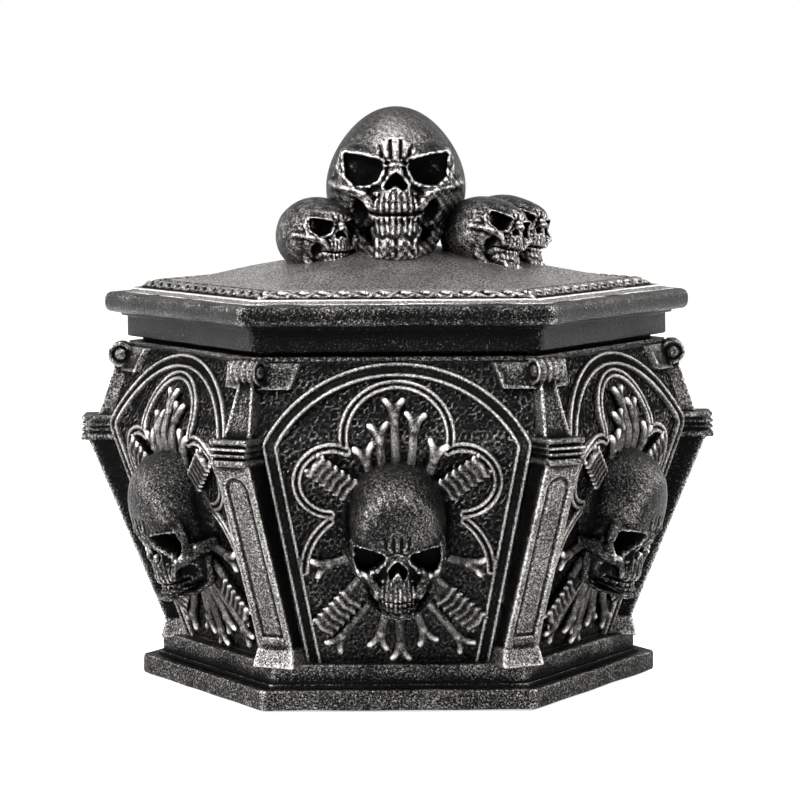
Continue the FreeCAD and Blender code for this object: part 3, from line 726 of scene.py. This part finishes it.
weather(pilaster, sharpness=6500.0, lift=np.where(up < block_levels[1], 0.1, lift))
pilaster_pewter = antique_pewter("pilaster_pewter", brushed=0.48, speckle=0.7, glance=0.65)
dress_around(pilaster, "pilaster", corners, pilaster_pewter)


# Tracery: a pointed-foot arch with a trefoil inside it on every wall, each band a pair of fine beads
# with a channel between them, modelled flat in clay and laid over the fold of the wall.
clay = Clay((-27.6, -0.4, -0.7), (27.6, 64.0, 1.9), pitch=0.3)
across, up, out = clay.points()
flat_across, flat_up = np.broadcast_arrays(abs(across[..., 0]), up[..., 0])


def to_arc(middle, radius, first, last):
    """The distance in the plane of the wall from an arc between two angles in degrees."""
    away = np.hypot(flat_across - middle[0], flat_up - middle[1])
    angle = np.degrees(np.arctan2(flat_up - middle[1], flat_across - middle[0]))
    ends = []
    for turn in (math.radians(first), math.radians(last)):
        ends.append(np.hypot(
            flat_across - middle[0] - radius * math.cos(turn),
            flat_up - middle[1] - radius * math.sin(turn)))
    return np.where((angle > first) & (angle < last), abs(away - radius), np.minimum(*ends))


arch_foot = (16.6, 0.0)
arch_spring = (24.7, lower_length)
arch_rise = 15.0
arch_radius = (arch_spring[0] ** 2 + arch_rise**2) / (2 * arch_rise)
arch_middle = (0.0, lower_length + arch_rise - arch_radius)
spring_angle = math.degrees(math.atan2(lower_length - arch_middle[1], arch_spring[0]))
arch_leg = to_drawn(flat_across, flat_up, (arch_foot, arch_spring))
arch = np.minimum(arch_leg, to_arc(arch_middle, arch_radius, spring_angle, 90))
top_foil = to_arc((0.0, lower_length + 1.6), 10.4, -8, 90)
side_foil = to_arc((12.7, 39.2), 6.9, -88, 115)
foot_foil = to_arc((4.8, 20.2), 13.5, 0, 52)
foil = np.minimum.reduce([top_foil, side_foil, foot_foil])
arch_half = 1.5
foil_half = 1.05
band = np.minimum(arch - arch_half, foil - foil_half)
bead_radius = 0.42
channel_height = 0.5
ornament_sink = 0.3
off_bead = abs(band + bead_radius)
band_height = channel_height + 1.3 * np.sqrt(np.clip(bead_radius**2 - off_bead**2, 0, None))
clay.depth = np.maximum(np.maximum(out - band_height[..., None], band[..., None]), -out - ornament_sink)
points, faces = clay.skin()
tracery = mesh_piece("tracery_pattern", on_wall(points) * millimetre, faces.tolist())
weather(tracery, sharpness=8500.0, lift=0.1, even=3)
tracery_pewter = antique_pewter("tracery_pewter", brushed=0.3, speckle=0.5, glance=0.45)
dress_around(tracery, "tracery", sides, tracery_pewter)


# Bones: long bones with two knuckles at each end, and short spines of spiked vertebrae, that fan out
# on the wall from behind the skull; modelled flat in clay and laid over the fold.
clay = Clay((-20.5, -0.6, -0.6), (20.5, 59.6, 3.4), pitch=0.36)
bone_out = 0.7


def laid(root, tip):
    """The two ends of a bone in the clay, and the directions along it and to its side."""
    root = np.array((*root, bone_out))
    tip = np.array((*tip, bone_out))
    along = (tip - root) / np.linalg.norm(tip - root)
    return root, tip, along, np.array((-along[1], along[0], 0))


long_bones = (
    ((0.0, 34.0), (-0.6, 55.2)), ((-2.0, 34.0), (-3.7, 50.4)), ((1.8, 34.0), (3.6, 52.4)),
    ((-3.6, 34.0), (-6.6, 46.3)), ((4.0, 34.0), (8.0, 46.8)), ((-8.0, 23.5), (-16.2, 20.8)),
    ((8.0, 23.5), (16.6, 21.0)), ((-4.6, 15.0), (-12.8, 3.8)), ((4.8, 15.0), (13.5, 3.6)),
    ((-1.8, 14.0), (-4.0, 3.8)), ((0.2, 14.0), (0.5, 1.2)), ((2.6, 14.0), (5.9, 4.8)))
knuckle_length = 3.0
for bone in long_bones:
    root, tip, along, beside = laid(*bone)
    neck = tip - along * knuckle_length
    clay.stroke([root, neck], (1.05, 0.85), 0.3, both=False)
    for hand in (1, -1):
        horn = [neck, tip - along * 1.0 + beside * hand * 0.75, tip + beside * hand * 1.7 + (0, 0, 0.2)]
        clay.stroke(horn, (0.85, 0.8, 0.65), 0.5, both=False)
spines = (
    ((-5.0, 34.4), (-15.6, 42.6)), ((5.0, 34.4), (15.9, 42.4)),
    ((-5.5, 18.6), (-14.6, 8.6)), ((5.5, 18.6), (15.2, 9.6)))
plates = 6
plate_pitch = 1.6
plate_half = 1.9
plate_out = (0, 0, 0.75)
for spine in spines:
    root, tip, along, beside = laid(*spine)
    for shift in (-1.3, 0, 1.3):
        clay.stroke([root + beside * shift, tip + beside * shift + (0, 0, 0.3)], (1.0, 1.0), 0.4, both=False)
    for link in range(plates):
        middle = tip - along * plate_pitch * link + plate_out
        wing = beside * (plate_half + 0.8)
        plate = [
            middle + wing + along * 0.6, middle + beside * plate_half, middle + along * 0.4,
            middle - beside * plate_half, middle - wing + along * 0.6]
        clay.stroke(plate, (0.2, 0.62, 0.72, 0.62, 0.2), 0.15, both=False)
    for shift in (-1.5, 1.5):
        spike = [tip + beside * shift, tip + beside * shift * 1.4 + along * 1.5 + (0, 0, 0.5)]
        clay.stroke(spike, (0.8, 0.25), 0.3, both=False)
clay.scoop(clay.points()[2] + ornament_sink, 0.1)
points, faces = clay.skin()
bones = mesh_piece("bones_pattern", on_wall(points) * millimetre, faces.tolist())
weather(bones, sharpness=10000.0, even=2)
bone_pewter = antique_pewter("bone_pewter", brushed=0.32, speckle=0.4, glance=0.45)
dress_around(bones, "bones", sides, bone_pewter)


# Skulls on the walls: one skull is modelled in clay and cast in three sizes. On a wall it is a half
# skull that leans with the lower slope, its forehead drawn up and its back bonded flat on the wall.
def model_skull(pitch, back, domes, rim, socket, frown_top):
    """A frowning skull, chin at the origin, face towards the third axis; cut flat at the back."""
    knob_height = 0.1
    clay = Clay((-16.4, -1.4, back - 1), (16.4, 33.0, 21.6), pitch)
    for place, radii, soft, square in domes:
        clay.lump(place, radii, soft, square)
    clay.lump((0, 15.0, 6.0), (9.4, 8.4, 9.4), 1.6)
    clay.stroke([(13.2, 16.0, 4.0), (11.7, 15.8, 9.6), (9.6, 15.2, 12.6)], (0.8, 0.9, 1.0), 1.0)
    clay.stroke([(9.6, 15.0, 12.4), (6.8, 13.8, 14.2), (5.2, 11.6, 15.0)], (1.1, 1.3, 0.9), 1.6)
    clay.stroke(rim, (1.0, 1.0, 1.0, 1.0), 1.4)
    clay.stroke([(0, 22.4, 14.6), (0, 18.8, 16.6)], (1.6, 1.5), 1.4, both=False)
    clay.lump((0, 12.4, 11.0), (5.2, 5.4, 6.6), 1.0)
    clay.lump((0, 5.6, 11.0), (5.0, 5.0, 6.4), 1.0)
    jaw = [(8.9, 13.0, 5.5), (8.6, 6.6, 6.6), (6.4, 2.8, 9.6), (4.0, 2.3, 14.0)]
    clay.stroke(jaw, (1.2, 1.4, 1.5, 1.6), 1.0)
    clay.lump((0, 2.7, 13.0), (4.4, 2.9, 5.3), 0.6, square=3.4)
    whole = clay.depth.copy()
    clay.lump((7.8, 9.4, 12.4), (2.5, 4.0, 3.9), 0.6, hollow=True)
    clay.carve(socket, 0.7, 9.5, 0.8, 0.4)
    nose = [
        (-1, 18.4), (0.5, 18.2), (1.4, 17.2), (2.4, 15.7),
        (2.2, 15.0), (1.5, 14.8), (0.4, 15.7), (-1, 16.0)]
    clay.carve(nose, 0.3, 12.0, 0.3, 0.36)
    drawn = [
        ([(0.9, 21.2), (1.1, frown_top)], 0.45, 0.6), ([(2.0, 21.8), (2.3, frown_top - 0.6)], 0.5, -0.25),
        ([(0, 22.4), (0, frown_top - 0.8)], 0.4, -0.2), ([(2.7, 21.8), (3.3, 23.8)], 0.4, 0.35),
        ([(0, 20.8), (2.2, 20.2)], 0.35, 0.4), ([(0, 19.7), (1.8, 19.2)], 0.3, 0.3),
        ([(3.4, 15.4), (5.4, 14.4)], 0.5, 0.4), ([(3.2, 14.0), (4.6, 13.0)], 0.4, 0.3),
        ([(0, 9.9), (3.0, 9.8), (5.2, 10.1)], 0.36, 0.85),
        ([(6.4, 14.2), (9.0, 15.0), (11.4, 15.4)], 0.4, -0.3),
        ([(3.9, 5.0), (4.1, 1.2)], 0.45, -0.35), ([(0, 4.6), (0, 1.4)], 0.6, 0.3),
        ([(4.8, 9.2), (5.2, 6.4), (4.2, 5.0)], 0.45, -0.3)]
    teeth = ((0.62, 0.6, 0.1), (1.88, 0.6, -0.15), (3.1, 0.56, 0.15), (4.15, 0.48, -0.1))
    for across, wide, longer in teeth:
        drawn += [
            ([(across, 10.7 - longer), (across, 11.6)], wide, -0.6),
            ([(across * 0.97, 12.2), (across * 0.9, 14.2 + longer)], 0.4, -0.35),
            ([(across * 0.97, 8.6), (across * 0.98, 9.2 + longer)], wide * 0.9, -0.5),
            ([(across * 0.96, 8.0), (across * 0.9, 6.2 - longer * 2)], 0.4, -0.3)]
    for line, radius, amount in drawn:
        clay.press(line, radius, amount)
    across, up, out = clay.points()
    broad_knobs = np.sin(1.9 * across + 1.1 * up) * np.sin(1.6 * up - 1.3 * out + 1)
    small_knobs = np.sin(3.7 * across - 2.2 * out) * np.sin(3.1 * up + 2 * out)
    on_face = np.clip((25 - up) / 4, 0.3, 1) * np.clip(out / 5, 0, 1)
    clay.depth += knob_height * (broad_knobs + small_knobs) * on_face
    clay.scoop(out - back, 0.1)
    points, faces = clay.skin()
    nearest = np.round((points - [line[0] for line in clay.lines]) / pitch).astype(int)
    sunk = whole[tuple(nearest.T)]
    return points, faces, np.clip(sunk / 2.5 + 0.3, -1, 0)


wall_back = 3.0
wall_sink = 0.4
face_scale = 0.745
skull_heights = (-2.0, 0.0, 8.4, 10.2, 12.6, 14.7, 16.2, 19.0, 22.5, 31.8, 33.0)
wall_heights = (13.4, 14.2, 16.6, 17.8, 20.6, 22.4, 25.0, 27.6, 30.2, 43.0, 44.6)
wall_domes = [((0, 22.0, 0.0), (15.2, 9.6, 9.4), 1.0, 2.3), ((0, 22.6, 4.0), (12.9, 9.4, 14.8), 0.8, 2.5)]
wall_rim = [(10.6, 15.8, 12.0), (11.6, 18.6, 11.8), (11.4, 21.6, 12.4), (5.0, 21.4, 15.2)]
wall_socket = [
    (10.7, 20.4), (9.0, 20.6), (6.5, 20.5), (4.2, 20.1), (3.6, 19.3),
    (4.1, 17.6), (5.4, 16.4), (7.7, 15.8), (9.8, 15.8), (10.7, 16.6)]
points, faces, sunk = model_skull(
    0.4, wall_back - wall_sink, wall_domes, wall_rim, wall_socket, frown_top=23.6)
across, up, out = points.T
on_slope = np.column_stack((
    across * face_scale, np.interp(up, skull_heights, wall_heights), (out - wall_back) * face_scale))
lower_outward = np.array((-lower_rise[1], lower_rise[0]))
section = foot_edge_line + on_slope[:, 1:2] * lower_rise + on_slope[:, 2:3] * lower_outward
leaning = np.column_stack((on_slope[:, 0], section)) * millimetre
wall_skull = mesh_piece("wall_skull_pattern", leaning, faces.tolist())
# Painted light and shade on the wall skull: a painted highlight lightens the crest of the forehead, painted
# shade darkens the temples, and the whole skull is made a little darker than the crown skull as painted
# shade.
temple_shade = np.clip((abs(across) - 11.6) / 1.2, 0, 1) * (out < 12)
crest = np.hypot(across / 10.4, (up - 22) / 8.0)
forehead_highlight = np.exp(-(((crest - 0.95) / 0.2) ** 2)) * (up > 23) * (out > 6)
weather(wall_skull, sharpness=9500.0, lift=sunk + 0.3 * forehead_highlight - 0.12 - 0.3 * temple_shade)
skull_pewter = antique_pewter("skull_pewter", brushed=0.32, speckle=0.6, glance=0.75)
dress_around(wall_skull, "wall_skull", sides, skull_pewter)


# Lid plate: frieze, thin fillet and round-nosed slab, cast in one and hollowed from below. It rests
# on the land of the rim and is lifted straight off.
lid_low, lid_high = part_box("lid_plate")
frieze_side = lid_high.x - 0.0047
frieze_top = lid_low.z + 0.0043
fillet_side = lid_high.x - 0.0034
fillet_top = frieze_top + 0.0007
nose_rounding = 0.0018
lid_edge = 0.0003
pocket_side = 0.0448
pocket_top = lid_high.z - 0.003
lid_points = [
    (pocket_side, pocket_top, 0), (pocket_side, lid_low.z, 0), (frieze_side, lid_low.z, lid_edge),
    (frieze_side, frieze_top, 0), (fillet_side, frieze_top, lid_edge), (fillet_side, fillet_top, 0),
    (lid_high.x, fillet_top, nose_rounding), (lid_high.x, lid_high.z, nose_rounding),
    (floor_side, lid_high.z, 0)]
lid_plate = six_sided(
    "lid_plate_visual", lid_points, closed=False, cuts=80, corner_rounding=0.0008, spacing=cast_spacing)
unevenness(lid_plate, cast_waves)
weather(lid_plate, sharpness=3600.0)
slab_pewter = antique_pewter("slab_pewter", brushed=0.12, speckle=0.8, glance=0.85)
finish_piece(lid_plate, "lid", "lid_plate", slab_pewter)


# Lip: a plain ring of the same cast resin under the lid, swept round its six corners and bonded to the
# plate. It drops into the rim with a little play.
lip_low, lip_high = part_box("lid_lip")
lip_edge = 0.0004
lip_points = [
    (pocket_side, lip_low.z, lip_edge), (lip_high.x, lip_low.z, lip_edge), (lip_high.x, lip_high.z, 0),
    (pocket_side, lip_high.z, 0)]
lip = six_sided(
    "lid_lip_visual", lip_points, closed=True, cuts=40, corner_rounding=lip_edge, spacing=0.002)
weather(lip, sharpness=2000.0)
finish_piece(lip, "lid", "lid_lip", plain_pewter)


# Roof: a low six-sided roof of the same resin, cast on the slab, its slopes a little uneven. Silver is
# brushed all over it, so that it is paler than the slab.
roof_low, roof_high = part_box("lid_roof")
roof_crown_side = 0.006
roof_middle_side = 0.002
roof_points = [
    (floor_side, roof_low.z, 0), (roof_high.x, roof_low.z, 0), (roof_crown_side, roof_high.z, 0),
    (roof_middle_side, roof_high.z, 0)]
roof = six_sided(
    "lid_roof_visual", roof_points, closed=False, cuts=60, corner_rounding=0.0003, spacing=0.0009)
unevenness(roof, cast_waves * 2)
weather(roof, sharpness=1500.0)
roof_pewter = antique_pewter("roof_pewter", brushed=0.64, speckle=1.6, glance=0.85)
finish_piece(roof, "lid", "lid_roof", roof_pewter)


# Border: a plaited band between two fine lines that runs round the roof, modelled flat in clay for
# one slope and repeated on the others.
border_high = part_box("lid_border")[1]
roof_fall = (roof_high.z - roof_low.z) / (roof_high.x - roof_crown_side) / flat_share
outer_flat = border_high.x / millimetre * flat_share
border_inner = 46.6
inner_flat = border_inner * flat_share
slope_length = (outer_flat - inner_flat) * math.sqrt(1 + roof_fall**2)
clay = Clay((-29.0, -0.4, -0.6), (29.0, slope_length + 0.4, 1.5), pitch=0.36)
across, inward, out = clay.points()
line_radius = 0.35
for line in (line_radius, slope_length - line_radius):
    clay.add(np.hypot(inward - line, out - 0.1) - line_radius, 0.2)
plait_pitch = 12.0
plait_swing = 1.45
strand_radius = 0.62
for strand in range(3):
    uneven = 0.5 * np.sin(across * 0.53 + strand * 2)
    phase = across / plait_pitch * 2 * math.pi + strand * 2 * math.pi / 3 + uneven
    middle = slope_length / 2 + plait_swing * np.sin(phase)
    height = 0.25 + 0.35 * np.cos(2 * phase)
    slant = np.sqrt(1 + (plait_swing * 2 * math.pi / plait_pitch * np.cos(phase)) ** 2)
    clay.add(np.hypot((inward - middle) / slant, (out - height) * 1.1) - strand_radius, 0.12)
bed_height = 0.12
border_sink = 0.25
bed = np.maximum(abs(inward - slope_length / 2) - slope_length / 2 + 0.1, out - bed_height)
clay.add(bed, 0.1)
level_in = outer_flat - inward / math.sqrt(1 + roof_fall**2)
mitre = (abs(across) - level_in * back_share) * flat_share
clay.scoop(-mitre, 0.05)
clay.scoop(out + border_sink, 0.05)
points, faces = clay.skin()
across, inward, out = points.T
fall_angle = math.atan(roof_fall)
from_middle = outer_flat - inward * math.cos(fall_angle) + out * math.sin(fall_angle)
above_foot = (roof_high.x / millimetre * flat_share - outer_flat) * roof_fall + roof_low.z / millimetre
up = above_foot + inward * math.sin(fall_angle) + out * math.cos(fall_angle)
slope = np.column_stack((across, -from_middle, up)) * millimetre
border_points = []
border_faces = []
for step in range(6):
    turn = np.array(Matrix.Rotation(math.radians(60 * step), 3, "Z"))
    border_points.append(slope @ turn.T)
    border_faces.append(faces + step * len(slope))
border = mesh_piece("lid_border_visual", np.vstack(border_points), np.vstack(border_faces).tolist())
weather(border, sharpness=9000.0)
border_pewter = antique_pewter("border_pewter", brushed=0.42, speckle=0.6, glance=0.5)
finish_piece(border, "lid", "lid_border", border_pewter)


# Skulls on the lid: the large skull in the middle and three small ones that lean on it, each the same
# clay skull, whole, cast and bonded on the roof.
crown_height = 31.6
crown_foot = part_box("crown_skull")[1].z / millimetre - crown_height
lid_back = -18.5
crown_domes = [
    ((0, 14.6, -2.0), (14.5, 13.0, 16.0), 1.0, 2.0), ((0, 20.0, -1.5), (10.2, 11.6, 14.0), 6.0, 2.0),
    ((0, 23.0, 6.0), (8.6, 5.6, 9.8), 3.0, 2.0)]
crown_rim = [(10.4, 16.2, 11.0), (11.2, 19.6, 9.6), (10.4, 22.4, 10.4), (4.0, 21.6, 14.4)]
crown_socket = [
    (10.2, 21.9), (7.3, 21.5), (3.1, 20.5), (3.0, 19.3),
    (4.0, 17.1), (5.9, 16.3), (8.2, 16.3), (9.8, 17.8)]
points, faces, sunk = model_skull(0.36, lid_back, crown_domes, crown_rim, crown_socket, frown_top=24.8)
across, up, out = points.T
crown = np.column_stack((across, -out, up + crown_foot)) * millimetre
crown_skull = mesh_piece("crown_skull_visual", crown, faces.tolist())
# Painted light on the crown skull: a painted highlight lightens the middle of the forehead, and the whole
# skull is made a little lighter than the wall skulls as painted light.
forehead_highlight = np.exp(-((across / 5) ** 2) - ((up - 27.2) / 3.2) ** 2) * (out > 4)
weather(crown_skull, sharpness=10000.0, lift=sunk + 0.06 + 0.4 * forehead_highlight)
finish_piece(crown_skull, "lid", "crown_skull", skull_pewter)
small_scale = 0.565
small_foot = roof_low.z / millimetre + 2.9
small_brow = 12.4
small_middle = 7
small_places = {
    "left": (-15.9, -5.0, 32.0, 0.0),
    "right": (18.2, -4.6, 44.0, 14.0),
    "rear": (22.8, 6.0, 50.0, 14.0),
}
points, faces, sunk = model_skull(0.48, lid_back, crown_domes, crown_rim, crown_socket, frown_top=23.6)
across, up, out = points.T
broad_blots = np.sin(across * 0.9 + up * 0.5 + 1) * np.sin(up * 0.8 - out * 0.6)
small_blots = np.sin(across * 1.3 - out * 0.7) * np.sin(up * 0.5 + out * 1.1)
mottled = 0.17 + 0.1 * (broad_blots + small_blots)
across, up, out = points.T * small_scale
up = np.where(up > small_brow, small_brow + (up - small_brow) * 0.76, up)
for name, (x, y, turn, roll) in small_places.items():
    facing = Matrix.Rotation(math.radians(turn), 3, "Z") @ Matrix.Rotation(math.radians(roll), 3, "Y")
    from_middle = np.column_stack((across, -out, up - small_middle)) @ np.array(facing).T
    small = from_middle + (x, y, small_foot + small_middle)
    small_skull = mesh_piece(f"small_skull_{name}_visual", small * millimetre, faces.tolist())
    weather(small_skull, sharpness=11000.0, lift=sunk + mottled)
    finish_piece(small_skull, "lid", f"small_skull_{name}", skull_pewter)


# Studio: a pale floor, a white surround and soft lamps, with the camera where the photograph's was.
# Floor and surround shine white only for the camera, in mirrors and through glass, so that the light on
# the object stays plain.
def seen_rays(wire):
    """One for rays from the camera, in mirrors and through glass, else nothing."""
    seen = 0.0
    for name in ("Is Camera Ray", "Is Glossy Ray", "Is Transmission Ray"):
        seen = wire.sum("MAXIMUM", seen, wire.node("ShaderNodeLightPath", {}, {}, name))
    return seen


floor_half = 3.0
floor_colour = (0.85, 0.85, 0.85, 1)
floor_glow = 0.75
plain_white = (1, 1, 1, 1)
bpy.ops.mesh.primitive_plane_add(size=2 * floor_half, location=(0, 0, 0))
floor = bpy.context.object
floor.name = "studio_floor"
floor_paint, wire = new_material("floor_paint")
matte = wire.node("ShaderNodeBsdfDiffuse", {}, {"Color": floor_colour})
white = wire.node("ShaderNodeEmission", {}, {"Color": plain_white, "Strength": seen_rays(wire) * floor_glow})
paint = wire.node("ShaderNodeAddShader", {}, {0: matte, 1: white})
wire.node("ShaderNodeOutputMaterial", {}, {"Surface": paint})
floor.data.materials.append(floor_paint)

world = bpy.data.worlds.new("studio")
bpy.context.scene.world = world
world.use_nodes = True
world.node_tree.nodes.clear()
wire = Wire(world.node_tree)
fill_strength = 0.3
world_strength = seen_rays(wire) * (1 - fill_strength) + fill_strength
glow = wire.node("ShaderNodeBackground", {}, {"Color": plain_white, "Strength": world_strength})
wire.node("ShaderNodeOutputWorld", {}, {"Surface": glow})

lamps = {
    "left": ((-0.7, 0.1, 0.35), 0.5, 7.0),
    "key": ((-0.55, -0.5, 0.5), 0.35, 11.0),
    "right": ((0.7, 0.15, 0.35), 0.5, 7.5),
    "top": ((-0.1, -0.3, 0.8), 0.4, 9.0),
}
aim = Vector((0, 0, 0.06))
for name, (spot, size, power) in lamps.items():
    lamp = bpy.data.lights.new(name, "AREA")
    lamp.shape = "DISK"
    lamp.size = size
    lamp.energy = power
    holder = bpy.data.objects.new(name, lamp)
    holder.location = spot
    holder.rotation_euler = (aim - Vector(spot)).to_track_quat("-Z", "Y").to_euler()
    bpy.context.collection.objects.link(holder)

camera_data = bpy.data.cameras.new("camera")
camera_data.sensor_width = 36.0
camera_data.lens = 151.35
camera_data.clip_start = 0.01
camera = bpy.data.objects.new("camera", camera_data)
camera.location = (0.0006, -0.6996, 0.12114)
camera_dip = 5.196
camera_roll = -0.324
tilt = Matrix.Rotation(math.radians(90 - camera_dip), 3, "X")
camera.rotation_euler = (tilt @ Matrix.Rotation(math.radians(camera_roll), 3, "Z")).to_euler()
bpy.context.collection.objects.link(camera)
bpy.context.scene.camera = camera
bpy.context.scene.view_settings.view_transform = "Standard"
